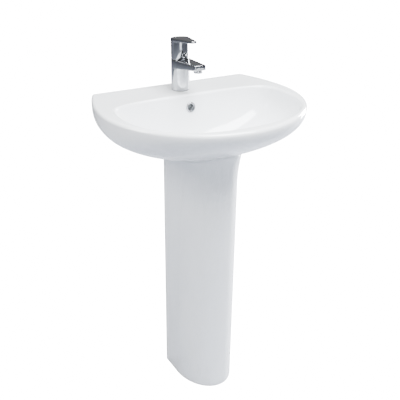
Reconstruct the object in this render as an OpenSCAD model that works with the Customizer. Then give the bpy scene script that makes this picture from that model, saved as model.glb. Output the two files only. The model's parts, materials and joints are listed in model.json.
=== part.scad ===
// Pedestal wash basin with a single-lever mixer tap, a click-clack waste and a bottle trap.
// Frame: +Z up from the floor, +Y towards the wall, origin on the floor under the middle
// of the basin, halfway between the wall and the front of the rim. Millimetres.

/* [Basin] */
// Width of the basin
basin_w = 550; // [455:5:670]
// Depth of the basin from the wall to the front of the rim
basin_d = 460; // [380:5:560]
// Height of the rim above the floor
rim_h = 850; // [700:5:1030]
// Distance from the wall to the widest line of the basin
widest_back = 184; // [150:2:225]
// Length that the back curve of the rim would have if it ran on past the wall
back_curve_l = 375; // [330:5:450]
// Depth of the bowl below the rim
bowl_depth = 128; // [106:1:150]
// Distance from the wall to the middle of the waste
waste_back = 225; // [200:1:245]
// Width of the flat deck behind the bowl
deck_back = 120; // [110:1:140]
// Width of the rim beside the bowl
rim_side = 34; // [28:1:44]
// Width of the rim in front of the bowl
rim_front = 28; // [24:1:36]
// Thickness of the china
china_t = 14; // [12:0.5:17]
// Radius of the rolled outer edge of the rim
edge_r = 9; // [6:0.5:11]
// Radius of the rolled inner edge of the rim
lip_r = 8; // [5:0.5:10]
// Height of the flat back apron, from the rim down
apron_h = 120; // [110:1:135]
// Depth of the waste boss below the rim
boss_depth = 165; // [155:1:185]
// Radius of the waste boss
boss_r = 60; // [54:1:66]
// Distance between the two wall bolt holes
bolt_pitch = 280; // [220:5:300]
// Distance from the rim down to the wall bolt holes
bolt_drop = 65; // [50:1:75]
// Radius of a wall bolt hole
bolt_hole_r = 7; // [5:0.5:8]

/* [Overflow] */
// Distance from the rim down to the overflow
overflow_drop = 35; // [30:1:45]
// Radius of the hole in the overflow ring
overflow_r = 9; // [7:0.5:10]
// Width of the overflow duct
duct_w = 32; // [24:1:36]
// Thickness of the overflow duct
duct_t = 10; // [8:0.5:11]

/* [Pedestal] */
// Half width of the pedestal at the floor
foot_half_w = 81; // [76:1:96]
// Half width of the pedestal below its collar
neck_half_w = 74; // [70:1:80]
// Distance from the wall to the open back of the pedestal
ped_back = 101; // [90:1:110]
// Distance from the wall to the front of the foot
foot_front = 296; // [285:1:312]
// Distance from the wall to the front of the pedestal below its collar
neck_front = 326; // [316:1:334]
// Length of the rounded front of the pedestal
nose_l = 117; // [100:1:130]
// Thickness of the pedestal wall
ped_t = 12; // [9:0.5:14.5]
// Depth below the rim at which the neck is measured
collar_drop = 182; // [170:1:190]
// Height of the flared collar below the pedestal's top edge
collar_h = 80; // [40:2:100]
// Outward reach of the collar
collar_reach = 9; // [4:0.5:12]
// Thickness of the sealing bead between pedestal and basin
bead_t = 2; // [1.5:0.5:4]
// Distance between the two floor screw holes
screw_pitch = 116; // [110:1:122]
// Radius of a floor screw hole
screw_hole_r = 4; // [3:0.5:5]

/* [Tap] */
// Distance from the wall to the axis of the tap
tap_back = 66; // [62:1:75]
// Radius of the tap column
column_r = 25; // [24:0.5:28]
// Height of the column's top above the deck
column_h = 84; // [78:1:100]
// Reach of the spout from the tap axis to its tip
spout_reach = 117; // [100:1:138]
// Width of the spout at its tip
spout_tip_w = 33; // [28:1:38]
// Rise of the spout's top from the column to its tip
spout_rise = 6; // [3:0.5:8]
// Thickness of the spout at its tip
spout_tip_t = 14; // [13:0.5:17]
// Thickness of the spout at the column
spout_root_t = 25; // [22:1:30]
// Height of the handle, from the column's top to the lever's top above the axis
handle_h = 55; // [48:1:64]
// Reach of the lever from the tap axis
lever_reach = 84; // [70:1:98]
// Rise of the lever's top from the tap axis to its tip
lever_rise = 5; // [2:0.5:8]
// Width of the lever at its tip
lever_tip_w = 15; // [12:1:24]
// Thickness of the lever at its tip
lever_tip_t = 6; // [5:0.5:8]
// Radius of the hole for the tap in the deck
tap_hole_r = 17.5; // [16.5:0.5:18.5]
// Radius of the aerator
aerator_r = 12; // [10.5:0.5:13]
// Radius of the ceramic cartridge
cartridge_r = 17.5; // [16:0.5:18]
// Angle that the lever lifts from closed to fully open
lift_angle = 20; // [16:1:22]

/* [Waste and trap] */
// Radius of the waste hole in the basin
waste_hole_r = 23; // [22:0.5:25]
// Outer radius of the waste's threaded tail
tail_r = 20.9; // [19:0.1:21.5]
// Wall thickness of the waste's tail
tail_t = 3.2; // [2.5:0.1:4]
// Radius of the waste flange
flange_r = 31.5; // [30:0.5:34]
// Length of the waste's tail below the basin
tail_l = 45; // [40:1:60]
// Lift of the plug from closed to open
plug_lift = 8; // [6:0.5:10]
// Radius of the trap's bottle
bottle_r = 33; // [31:0.5:37]
// Height of the trap's bottle
bottle_h = 96; // [86:1:116]
// Radius of the trap's outlet socket, for a 32 mm pipe
outlet_r = 16.3; // [15.5:0.1:17.5]
// Length of the trap's outlet from the bottle's axis
outlet_l = 78; // [72:1:92]

/* [Hidden] */

$fn = 64;
eps = 0.01;

// Clearances
run_gap = 0.3;          // between pieces that move past each other
shaft_gap = 0.05;       // between a pin and what turns on it
seat_gap = 0.1;         // between two lapped or seated faces
washer_slip = 0.2;      // between a rubber washer and the pipe it seals
insert_gap = 0.25;      // between a fixed insert and its pocket

// Colours
china = [0.95, 0.96, 0.97];
chrome = [0.72, 0.74, 0.76];
steel = [0.62, 0.63, 0.65];
brass = [0.78, 0.62, 0.32];
rubber = [0.13, 0.13, 0.14];
silicone = [0.9, 0.91, 0.92];
plastic = [0.92, 0.92, 0.9];
grey_plastic = [0.5, 0.52, 0.55];
ceramic = [0.88, 0.86, 0.8];

function mix(a, b, t) = a + (b - a) * t;
function clamp01(t) = max(0, min(1, t));

// ---------- Basin: outer shape ----------
wall_y = basin_d / 2;
front_y = -basin_d / 2;
half_w = basin_w / 2;
mid_y = wall_y - widest_back;
waste_y = wall_y - waste_back;
boss_z = rim_h - boss_depth;
apron_n = 1.85;                 // exponent of the back curve of the rim
belly_depth = 196;              // depth at which the belly's curves would close
belly_half_w = 41;              // half width there
belly_front = 66;               // distance from the wall there
side_n = 3.12;                  // fullness of the belly's sides
side_tuck = 3.16;               // how fast the sides tuck in
front_n = 1.78;                 // fullness of the belly's front
front_tuck = 0.99;              // how fast the front tucks in
boss_tuck = 3.8;                // how fast the underside runs in to the boss

// One level of the outside: [half width, front y, widest y, back length, back y, back exponent]
function belly(h) = let (u = max(0, h - edge_r) / (belly_depth - edge_r))
  [mix(belly_half_w, half_w, pow(1 - pow(u, side_n), side_tuck)),
   wall_y - mix(belly_front, basin_d, pow(1 - pow(u, front_n), front_tuck)),
   mid_y, back_curve_l, wall_y, apron_n];
boss_level = [boss_r, waste_y - boss_r, waste_y, boss_r, waste_y + boss_r, 2];
function outside(h) = h <= apron_h ? belly(h)
  : let (g = (h - apron_h) / (boss_depth - apron_h))
    mix(boss_level, belly(apron_h), pow(max(0, 1 - g), boss_tuck));

// Half width of a level's back curve at y
function back_half(s, y) =
  s[0] * pow(max(0, 1 - pow(clamp01((y - s[2]) / s[3]), s[5])), 1 / s[5]);
// Half width of a level at y
function level_half(s, y) = y >= s[2] ? back_half(s, y)
  : s[0] * sqrt(max(0, 1 - pow((s[2] - y) / (s[2] - s[1]), 2)));
function in_level(s, x, y) = y > s[1] && y < s[4] && abs(x) < level_half(s, y);

front_steps = 52;
side_steps = 9;
wall_steps = 18;
// Outline of a level: the front from right to left, the left side, the wall, the right side
function outline(s) = concat(
  [for (k = [0:front_steps]) let (t = 180 * k / front_steps)
    [s[0] * cos(t), s[2] - (s[2] - s[1]) * sin(t)]],
  [for (k = [1:side_steps]) let (y = mix(s[2], s[4], k / side_steps)) [-back_half(s, y), y]],
  [for (k = [1:wall_steps - 1]) [mix(-1, 1, k / wall_steps) * back_half(s, s[4]), s[4]]],
  [for (k = [side_steps:-1:1]) let (y = mix(s[2], s[4], k / side_steps)) [back_half(s, y), y]]);

// Depth of the underside below the rim at a place, by halving
function under(x, y, lo = 0, hi = boss_depth, n = 22) = n == 0 ? (lo + hi) / 2
  : let (h = (lo + hi) / 2)
    in_level(outside(h), x, y) ? under(x, y, h, hi, n - 1) : under(x, y, lo, h, n - 1);

// ---------- Basin: bowl ----------
bowl_ahead = 40;                             // the bowl is widest this far ahead of the rim
bowl_lap = 2;                                // the bowl's mouth reaches this far into the deck
bowl_mid_y = mid_y - bowl_ahead;
bowl_half_w = half_w - rim_side - lip_r / 2;
bowl_front_l = bowl_mid_y - front_y - rim_front - lip_r / 2;
bowl_back_l = wall_y - deck_back + bowl_lap - lip_r / 2 - bowl_mid_y;
bowl_front_n = 2.3;
bowl_back_n = 4.4;
dish_r = 40;                                 // radius of the flat dish round the waste
// Profile exponents of the bowl's wall: [fullness, tuck] at the sides, the front and the back
wall_side = [2.6, 0.62];
wall_front = [2.2, 0.9];
wall_back = [1.8, 0.5];

// Distance from the bowl's middle to its mouth in a direction
function mouth(a) = let (
    n = sin(a) < 0 ? bowl_front_n : bowl_back_n,
    l = sin(a) < 0 ? bowl_front_l : bowl_back_l)
  pow(pow(abs(cos(a)) / bowl_half_w, n) + pow(abs(sin(a)) / l, n), -1 / n);
// Point of the bowl's wall in direction a at depth h
function bowl_point(a, h) = let (
    w = pow(sin(a), 2),
    e = sin(a) < 0 ? mix(wall_side, wall_front, w) : mix(wall_side, wall_back, w),
    f = pow(max(0, 1 - pow(h / bowl_depth, e[0])), e[1]),
    roll = h < lip_r ? lip_r - sqrt(pow(lip_r, 2) - pow(lip_r - h, 2)) : 0,
    r = mouth(a) + roll)
  [mix(dish_r * cos(a), r * cos(a), f),
   mix(waste_y + dish_r * sin(a), bowl_mid_y + r * sin(a), f)];

rim_line = outline(outside(0));
bowl_dirs = [for (p = rim_line) atan2(p[1] - bowl_mid_y, p[0])];

lip_steps = 5;
wall_levels = 15;
bowl_levels = concat(
  [for (k = [0:lip_steps]) lip_r * (1 - cos(90 * k / lip_steps))],
  [for (k = [1:wall_levels]) mix(lip_r, bowl_depth, sin(90 * k / wall_levels))]);
belly_levels = 13;
boss_levels = 9;
outer_levels = concat(
  [for (k = [0:belly_levels]) mix(edge_r, apron_h, k / belly_levels)],
  [for (k = [1:boss_levels]) mix(apron_h, boss_depth, pow(k / boss_levels, 1.6))]);
edge_steps = 5;

function lift_ring(pts, z) = [for (p = pts) [p[0], p[1], z]];
// Rings from the bowl's dish up to the mouth, over the rim and down to the boss
function rim_roll(t) = let (s = outside(edge_r), d = edge_r * (1 - sin(t)))
  [s[0] - d, s[1] + d, s[2], s[3], s[4], s[5]];
bowl_rings = [for (k = [len(bowl_levels) - 1:-1:0])
  [for (a = bowl_dirs) let (p = bowl_point(a, bowl_levels[k])) [p[0], p[1], rim_h - bowl_levels[k]]]];
rim_rings = [for (k = [0:edge_steps - 1]) let (t = 90 * k / edge_steps)
  lift_ring(outline(rim_roll(t)), rim_h - edge_r * (1 - cos(t)))];
belly_rings = [for (h = outer_levels) lift_ring(outline(outside(h)), rim_h - h)];

// A closed solid through rings of equal length, with flat ends
module loft(rings) {
  n = len(rings[0]);
  m = len(rings);
  points = [for (r = rings) each r];
  side_faces = [for (j = [0:m - 2]) for (i = [0:n - 1]) let (
      a = j * n + i, b = j * n + (i + 1) % n, c = a + n, d = b + n)
    each [[a, c, b], [b, c, d]]];
  first = [for (i = [0:n - 1]) i];
  last = [for (i = [n - 1:-1:0]) (m - 1) * n + i];
  polyhedron(points = points, faces = concat([first], side_faces, [last]), convexity = 8);
}

module tube(outer, inner, height) {
  difference() {
    cylinder(r = outer, h = height);
    translate([0, 0, -eps]) cylinder(r = inner, h = height + 2 * eps);
  }
}

// Rear cavity under the deck, where the tap's fixings are reached
cavity_front = wall_y - deck_back + china_t - bowl_lap;
cavity_back = wall_y - china_t;
cavity_steps = 8;
function cavity_half(h) = back_half(outside(min(h, apron_h)), wall_y) - china_t;
module rear_cavity() {
  drop = boss_depth + china_t;
  levels = concat([for (k = [0:cavity_steps]) mix(china_t, apron_h, k / cavity_steps)], [drop]);
  right = [for (h = levels) [cavity_half(h), rim_h - h]];
  left = [for (k = [len(levels) - 1:-1:0]) [-cavity_half(levels[k]), rim_h - levels[k]]];
  translate([0, cavity_back, 0]) rotate([90, 0, 0])
    linear_extrude(cavity_back - cavity_front) polygon(concat(right, left));
}

// Overflow: a hole in the bowl's back wall and a duct from it to the waste hole
overflow_z = rim_h - overflow_drop;
overflow_face_y = bowl_point(90, overflow_drop)[1];
overflow_tilt = atan((bowl_point(90, overflow_drop - 1)[1] - bowl_point(90, overflow_drop + 1)[1]) / 2);
sleeve_t = 1.6;                 // wall of the overflow ring's sleeve
duct_wall = 8;                  // china beside and behind the duct
duct_skin = 6;                  // china in front of it
duct_lap = 4;                   // how far its housing runs into the deck
duct_run_t = 12;                // height of its run to the waste hole
duct_y = cavity_front - 2;
duct_back = duct_y + duct_t + duct_wall;
duct_top = overflow_z + overflow_r + 3;
duct_floor = boss_z + 10;
// An upright box across the middle, given by its outline seen from the right
module across(w, outline_yz) {
  translate([-w / 2, 0, 0]) rotate([90, 0, 90]) linear_extrude(w) polygon(outline_yz);
}
module duct_housing() {
  top = rim_h - china_t + duct_lap;
  run_top = duct_floor + duct_run_t + duct_skin - 1;
  across(duct_w + 2 * duct_wall, [[waste_y, boss_z], [duct_back, boss_z], [duct_back, top],
    [duct_y - duct_skin, top], [duct_y - duct_skin, run_top], [waste_y, run_top]]);
}
module overflow_duct() {
  across(duct_w, [[duct_y, duct_top], [duct_y + duct_t, duct_top], [duct_y + duct_t, duct_floor],
    [waste_y, duct_floor], [waste_y, duct_floor + duct_run_t], [duct_y, duct_floor + duct_run_t]]);
}

module at_overflow() {
  translate([0, overflow_face_y, overflow_z]) rotate([90 - overflow_tilt, 0, 0]) children();
}

floor_z = rim_h - bowl_depth;
recess_d = 3.5;                 // depth of the recess for the waste flange
recess_r = flange_r + 1.5;
module at_waste(z = 0) { translate([0, waste_y, z]) children(); }
tap_y = wall_y - tap_back;
module at_tap(z = 0) { translate([0, tap_y, rim_h + z]) children(); }
bolt_z = rim_h - bolt_drop;

module basin() {
  color(china) difference() {
    union() {
      difference() {
        loft(concat(bowl_rings, rim_rings, belly_rings));
        rear_cavity();
      }
      duct_housing();
    }
    overflow_duct();
    at_overflow() translate([0, 0, -(duct_y - overflow_face_y) - 2])
      cylinder(r = overflow_r + sleeve_t + insert_gap, h = duct_y);
    at_waste(boss_z - 1) cylinder(r = waste_hole_r, h = bowl_depth);
    at_waste(floor_z - recess_d) cylinder(r = recess_r, h = bowl_depth);
    at_tap(-2 * china_t) cylinder(r = tap_hole_r, h = 3 * china_t);
    for (side = [-1, 1]) translate([side * bolt_pitch / 2, wall_y + 1, bolt_z])
      rotate([90, 0, 0]) cylinder(r = bolt_hole_r, h = china_t + 2);
  }
}

module overflow_ring() {
  flange = overflow_r + 4.5;
  proud = 3.2;
  sleeve_l = 8;
  sleeve_lap = 0.8;
  color(chrome) at_overflow() rotate_extrude() union() {
    translate([overflow_r, -sleeve_l]) square([sleeve_t, sleeve_l + sleeve_lap]);
    translate([overflow_r, insert_gap]) square([flange - overflow_r - proud / 2, proud]);
    translate([flange - proud / 2, insert_gap + proud / 2]) circle(r = proud / 2);
  }
}

// ---------- Pedestal ----------
ped_back_y = wall_y - ped_back;
collar_z = rim_h - collar_drop;
nose_steps = 36;
flank_steps = 8;
// One level of the pedestal: [half width, front y, back y]
function ped_level(z) = let (t = z / collar_z)
  [mix(foot_half_w, neck_half_w, t), wall_y - mix(foot_front, neck_front, t), ped_back_y];
// Outward flare of the collar; it dies out towards the back
function flare(z, y, top) = let (
    up = clamp01(1 - (top - z) / collar_h),
    ahead = clamp01((ped_back_y - y) / (ped_back_y + neck_half_w)))
  collar_reach * pow(up, 1.8) * pow(sin(90 * ahead), 1.2);
// Outline of a pedestal level, shrunk by t: right flank, nose, left flank
function ped_line(s, t) = let (a = s[0] - t, f = s[1] + t, m = f + nose_l - t) concat(
  [for (k = [0:flank_steps - 1]) [a, mix(s[2], m, k / flank_steps)]],
  [for (k = [0:nose_steps]) let (v = 180 * k / nose_steps) [a * cos(v), m - (m - f) * sin(v)]],
  [for (k = [flank_steps - 1:-1:0]) [-a, mix(s[2], m, k / flank_steps)]]);
function push_out(p, z, top) = let (
    w = flare(z, p[1], top),
    d = [p[0] / neck_half_w, min(0, p[1] - ped_back_y) / nose_l / 2],
    l = max(norm(d), eps))
  [p[0] + w * d[0] / l, p[1] + w * d[1] / l];
function ped_point(i, t, z, top) = push_out(ped_line(ped_level(z), t)[i], z, top);
// Height of the pedestal's top edge at point i of its outline, found in three passes
function ped_top(i, t, z, n = 3) = let (
    p = ped_point(i, t, z, z),
    z1 = rim_h - under(p[0], p[1]) - bead_t)
  n == 0 ? z1 : ped_top(i, t, z1, n - 1);
ped_count = len(ped_line(ped_level(0), 0));
outer_top = [for (i = [0:ped_count - 1]) ped_top(i, 0, collar_z)];
inner_top = [for (i = [0:ped_count - 1]) ped_top(i, ped_t, collar_z)];
foot_h = 16;                    // height of the flange inside the foot
foot_t = 36;                    // its width, wall included
shaft_levels = 6;
collar_levels = 8;
shaft_top = boss_z - bead_t - collar_h - 2;
// Height of level k: two levels for the foot flange, then the shaft, then the collar
function ped_z(k, top) = k == 0 ? 0 : k == 1 ? foot_h
  : k <= shaft_levels + 2 ? mix(foot_h + 2, shaft_top, (k - 2) / shaft_levels)
  : mix(shaft_top, top, (k - 2 - shaft_levels) / collar_levels);
function ped_wall(k) = k < 2 ? foot_t : ped_t;
// Ring k of the shell: the outside one way, the inside back
function ped_ring(k) = concat(
  [for (i = [0:ped_count - 1]) let (z = ped_z(k, outer_top[i]), p = ped_point(i, 0, z, outer_top[i]))
    [p[0], p[1], z]],
  [for (i = [ped_count - 1:-1:0])
    let (z = ped_z(k, inner_top[i]), p = ped_point(i, ped_wall(k), z, inner_top[i])) [p[0], p[1], z]]);

// A closed solid through U-shaped rings: each ring runs out along one face and back along the other
module shell_loft(rings) {
  n = len(rings[0]);
  m = len(rings);
  h = n / 2;
  points = [for (r = rings) each r];
  sides = [for (j = [0:m - 2]) for (i = [0:n - 1]) let (
      a = j * n + i, b = j * n + (i + 1) % n, c = a + n, d = b + n)
    each [[a, b, c], [b, d, c]]];
  ends = [for (i = [0:h - 2]) let (o = n - 1 - i, e = (m - 1) * n)
    each [[i, o, i + 1], [i + 1, o, o - 1], [e + i + 1, e + o, e + i], [e + o - 1, e + o, e + i + 1]]];
  polyhedron(points = points, faces = concat(sides, ends), convexity = 8);
}

screw_inset = 34;               // from the open back to the floor screws
screw_y = ped_back_y - screw_inset;
module pedestal() {
  color(china) difference() {
    shell_loft([for (k = [0:shaft_levels + collar_levels + 2]) ped_ring(k)]);
    for (side = [-1, 1]) translate([side * screw_pitch / 2, screw_y, -1])
      cylinder(r = screw_hole_r, h = foot_h + 2);
  }
}

bead_inset = 1;                 // how far the bead stops short of the wall's faces
bead_relief = 0.8;              // space that the basin's curve needs above the bead
// Point of the pedestal's top face, at share t of the way from its outside to its inside
function ped_crest(i, t) =
  let (a = ped_point(i, 0, outer_top[i], outer_top[i]), b = ped_point(i, ped_t, inner_top[i], inner_top[i]))
  mix([a[0], a[1], outer_top[i]], [b[0], b[1], inner_top[i]], t);
module pedestal_bead() {
  share = bead_inset / ped_t;
  low = concat([for (i = [0:ped_count - 1]) ped_crest(i, share) + [0, 0, seat_gap]],
    [for (i = [ped_count - 1:-1:0]) ped_crest(i, 1 - share) + [0, 0, seat_gap]]);
  high = [for (p = low) p + [0, 0, bead_t - seat_gap - bead_relief]];
  color(silicone) shell_loft([low, high]);
}

// ---------- Tap ----------
seal_t = 1.5;
seal_inset = 0.6;               // how far a seal stops short of the edge it lies under
bore_floor = column_h - 41;     // height of the cartridge pocket's floor above the deck
bore_r = cartridge_r + insert_gap;
nut_r = column_r - 4;
nut_h = 7;
spout_root_w = 2 * column_r - 2;
spout_top = column_h - 0.5;
aerator_z = spout_top + spout_rise - spout_tip_t;
channel_root = spout_top - spout_root_t / 2;
channel_tip = spout_top + spout_rise - spout_tip_t / 2;
channel_slope = (channel_tip - channel_root) / spout_reach;
aerator_back = 14;              // from the spout's tip to the aerator's axis
aerator_bore_d = 9;
channel_lap = 2;                // how far the channel cuts into the cartridge pocket
port_x = 8;
port_y = -5;
tail_pipe_r = 6.5;              // outside of the two brass inlet tails
tail_pipe_l = 62;
tail_seat = 10;                 // how far a tail goes into the tap's base
port_r = 4.5;                   // core of an M10 thread
port_d = 12;
passage_r = 3;
stud_y = 9;
stud_r = 4;
stud_d = 12;

module spout() {
  w0 = spout_root_w / 2;
  w1 = spout_tip_w / 2;
  intersection() {
    translate([-w0, 0, 0]) rotate([90, 0, 90]) linear_extrude(2 * w0)
      polygon([[0, spout_top], [0, spout_top - spout_root_t],
        [-spout_reach, aerator_z], [-spout_reach, aerator_z + spout_tip_t]]);
    linear_extrude(column_h + spout_rise)
      polygon([[-w0, 0], [w0, 0], [w0, -column_r / 2], [w1, -spout_reach], [-w1, -spout_reach],
        [-w0, -column_r / 2]]);
  }
}

module tap_body() {
  color(chrome) at_tap() difference() {
    union() {
      translate([0, 0, seal_t]) cylinder(r = column_r, h = column_h - seal_t);
      spout();
    }
    translate([0, 0, bore_floor]) cylinder(r = bore_r, h = column_h);
    translate([0, 0, column_h - nut_h]) cylinder(r = nut_r, h = column_h);
    for (side = [-1, 1]) translate([side * port_x, port_y, 0]) {
      cylinder(r = tail_pipe_r + shaft_gap, h = seal_t + tail_seat);
      cylinder(r = passage_r, h = bore_floor + 1);
    }
    translate([0, stud_y, 0]) cylinder(r = stud_r + shaft_gap, h = seal_t + stud_d);
    translate([0, aerator_back - spout_reach, 0]) {
      cylinder(r = aerator_r - 1 + insert_gap, h = aerator_z + aerator_bore_d);
      cylinder(r = aerator_r + insert_gap, h = aerator_z - 1 + seat_gap);
    }
    translate([0, channel_lap - bore_r, channel_root + bore_r * channel_slope])
      rotate([90 - atan(channel_slope), 0, 0])
      cylinder(r = passage_r, h = spout_reach - aerator_back - bore_r);
  }
}

module inlet_tail(side) {
  color(brass) at_tap(seal_t + tail_seat - tail_pipe_l) translate([side * port_x, port_y, 0]) difference() {
    cylinder(r = tail_pipe_r, h = tail_pipe_l);
    translate([0, 0, -1]) cylinder(r = port_r, h = port_d + 1);
    cylinder(r = passage_r, h = tail_pipe_l + 1);
  }
}
module hot_tail() { inlet_tail(-1); }
module cold_tail() { inlet_tail(1); }

module tap_base_seal() {
  color(rubber) at_tap() tube(column_r - seal_inset, tap_hole_r - 1, seal_t);
}

stud_l = 78;                    // length of the mounting stud
module mounting_stud() {
  color(steel) at_tap(stud_d + seal_t - stud_l) translate([0, stud_y, 0]) cylinder(r = stud_r, h = stud_l);
}

clamp_r = 23;
clamp_front = 15;
clamp_gap = 0.5;                // between an inlet tail and the clamp round it
seal_under = 2;
washer_t = 2.5;
module horseshoe(thickness) {
  linear_extrude(thickness) difference() {
    intersection() {
      circle(r = clamp_r);
      translate([-clamp_r, -clamp_front]) square([2 * clamp_r, clamp_front + clamp_r]);
    }
    translate([0, stud_y]) circle(r = stud_r + insert_gap);
    translate([-port_x - tail_pipe_r - clamp_gap, -clamp_r])
      square([2 * (port_x + tail_pipe_r + clamp_gap), clamp_r + port_y + tail_pipe_r + clamp_gap]);
  }
}
module horseshoe_seal() {
  color(rubber) at_tap(-china_t - seal_under) horseshoe(seal_under);
}
module horseshoe_washer() {
  color(steel) at_tap(-china_t - seal_under - washer_t) horseshoe(washer_t);
}
stud_nut_h = 22;
stud_nut_r = 6.9;
module stud_nut() {
  color(brass) at_tap(-china_t - seal_under - washer_t - stud_nut_h) translate([0, stud_y, 0])
    difference() {
      cylinder(r = stud_nut_r, h = stud_nut_h, $fn = 6);
      translate([0, 0, -1]) cylinder(r = stud_r + shaft_gap, h = stud_nut_h + 2);
    }
}

// Aerator
aerator_drop = 8;               // how far it shows below the spout
aerator_seal_t = 3;
aerator_lip = 3.2;              // width of the lip that holds the insert
aerator_wall = 2;
aerator_floor = 2;
jet_r = 0.9;
jet_rings = [2.6, 5.6];         // radii of the two rings of jets
module at_aerator(z) { at_tap(z) translate([0, -spout_reach + aerator_back, 0]) children(); }
module aerator_housing() {
  color(chrome) at_aerator(aerator_z - aerator_drop) difference() {
    union() {
      cylinder(r = aerator_r, h = aerator_drop - 1);
      cylinder(r = aerator_r - 1, h = aerator_drop + aerator_bore_d - aerator_seal_t);
    }
    translate([0, 0, -1]) cylinder(r = aerator_r - aerator_lip, h = aerator_drop + aerator_bore_d);
    translate([0, 0, aerator_floor])
      cylinder(r = aerator_r - aerator_wall, h = aerator_drop + aerator_bore_d);
  }
}
module aerator_insert() {
  jets = 8;
  h = aerator_drop + aerator_bore_d - 2 * aerator_seal_t;
  color(plastic) at_aerator(aerator_z - aerator_drop + aerator_floor) difference() {
    cylinder(r = aerator_r - aerator_wall - seat_gap, h = h);
    for (ring = [[jet_rings[0], jets / 2], [jet_rings[1], jets]]) for (k = [0:ring[1] - 1])
      rotate(k * 360 / ring[1]) translate([ring[0], 0, -1]) cylinder(r = jet_r, h = h + 2, $fn = 16);
  }
}
module aerator_seal() {
  color(rubber) at_aerator(aerator_z + aerator_bore_d - aerator_seal_t)
    tube(aerator_r - 1 - washer_slip, aerator_r - 5, aerator_seal_t - washer_slip);
}

// Cartridge: heights above the deck
gasket_t = 2;
base_flange_t = 4;
base_top = column_h - 24;
disc_t = 4;
slide_t = 3;
carrier_t = 6;
housing_top = column_h - nut_h;
pivot_z = column_h - 4;
inner_r = cartridge_r - 2.5;
port_ring = 8.6;                // radius of the circle of the three ports
port_dirs = [90, 210, 330];
valve_r = 2.8;                  // radius of a port
gasket_r = 4.4;
gasket_w = 1.2;

module port_holes(r, h) {
  for (a = port_dirs) rotate(a) translate([port_ring, 0, -1]) cylinder(r = r, h = h + 2);
}
module cartridge_seals() {
  color(rubber) at_tap(bore_floor) for (a = port_dirs)
    rotate(a) translate([port_ring, 0, 0]) tube(gasket_r, gasket_r - gasket_w, gasket_t);
}
module cartridge_base() {
  z0 = bore_floor + gasket_t;
  color(grey_plastic) at_tap(z0) difference() {
    union() {
      cylinder(r = cartridge_r, h = base_flange_t);
      cylinder(r = inner_r - seat_gap, h = base_top - z0);
    }
    port_holes(valve_r, base_top - z0);
  }
}
module fixed_disc() {
  color(ceramic) at_tap(base_top) difference() {
    cylinder(r = inner_r - seat_gap, h = disc_t);
    port_holes(valve_r, disc_t);
  }
}
turret_lip = 1.6;               // how far the housing's mouth keeps the turret in
turret_r = inner_r - turret_lip;
module cartridge_housing() {
  z0 = bore_floor + gasket_t + base_flange_t;
  color(grey_plastic) at_tap(z0) difference() {
    cylinder(r = cartridge_r, h = housing_top - z0);
    translate([0, 0, -1]) cylinder(r = inner_r, h = housing_top - z0);
    cylinder(r = turret_r + run_gap, h = housing_top);
  }
}
module cartridge_nut() {
  color(brass) at_tap(housing_top) difference() {
    cylinder(r = nut_r - seat_gap, h = nut_h - 0.5);
    translate([0, 0, -1]) cylinder(r = turret_r + run_gap, h = nut_h + 2);
  }
}
cover_t = 1.2;
cover_h = 5;
cover_hole = 11.5;
cover_r = nut_r - 0.6;
module cartridge_cover() {
  color(chrome) at_tap(column_h - 0.5) rotate_extrude()
    polygon([[cover_r, 0], [cover_r, cover_t], [cover_hole, cover_h], [cover_hole, cover_h - cover_t],
      [cover_r - 2 * cover_t, 0]]);
}
disc_r = inner_r - 4.6;         // leaves room for the disc to slide
mix_pocket_r = 4.5;
module moving_disc() {
  color(ceramic) at_tap(base_top + disc_t + seat_gap) difference() {
    cylinder(r = disc_r, h = slide_t);
    translate([0, 0, -1]) cylinder(r = mix_pocket_r, h = slide_t);
  }
}
stem_w = 8;
ball_r = 2.6;
carrier_z = base_top + disc_t + seat_gap + slide_t;
ball_z = carrier_z + run_gap + ball_r + 1;
module disc_carrier() {
  color(grey_plastic) at_tap(carrier_z) difference() {
    cylinder(r = disc_r, h = carrier_t - 2 * run_gap);
    translate([-ball_r - run_gap, -ball_r - run_gap, run_gap])
      cube([2 * (ball_r + run_gap), 2 * (ball_r + run_gap), carrier_t]);
  }
}
pin_r = 1.5;
turret_flange = 1.2;
turret_z = housing_top - 1 - run_gap - turret_flange;
turret_top = column_h - 1;
module cartridge_turret() {
  slot_w = stem_w + 2 * run_gap;
  slot_end = 3;
  color(grey_plastic) at_tap() difference() {
    union() {
      translate([0, 0, turret_z]) cylinder(r = inner_r - run_gap, h = turret_flange);
      translate([0, 0, turret_z]) cylinder(r = turret_r, h = turret_top - turret_z);
    }
    translate([-slot_w / 2, slot_end - turret_r, turret_z - 1])
      cube([slot_w, 2 * (turret_r - slot_end), turret_top - turret_z + 2]);
    translate([-turret_r - 1, 0, pivot_z]) rotate([0, 90, 0]) cylinder(r = pin_r, h = 2 * turret_r + 2);
  }
}
module stem_pin() {
  l = 2 * (turret_r - turret_lip / 2);
  color(steel) at_tap(pivot_z) translate([-l / 2, 0, 0]) rotate([0, 90, 0]) cylinder(r = pin_r, h = l);
}
stem_top = column_h + 27;
stem_foot = 4;                  // how far the square stem runs below its pivot
shank_r = 2.2;
module lever_stem() {
  color(steel) at_tap() difference() {
    union() {
      translate([-stem_w / 2, -stem_w / 2, pivot_z - stem_foot])
        cube([stem_w, stem_w, stem_top - pivot_z + stem_foot]);
      translate([0, 0, ball_z]) cylinder(r = shank_r, h = pivot_z - ball_z);
      translate([0, 0, ball_z]) sphere(r = ball_r);
    }
    translate([-stem_w, 0, pivot_z]) rotate([0, 90, 0]) cylinder(r = pin_r + shaft_gap, h = 2 * stem_w);
  }
}

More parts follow.
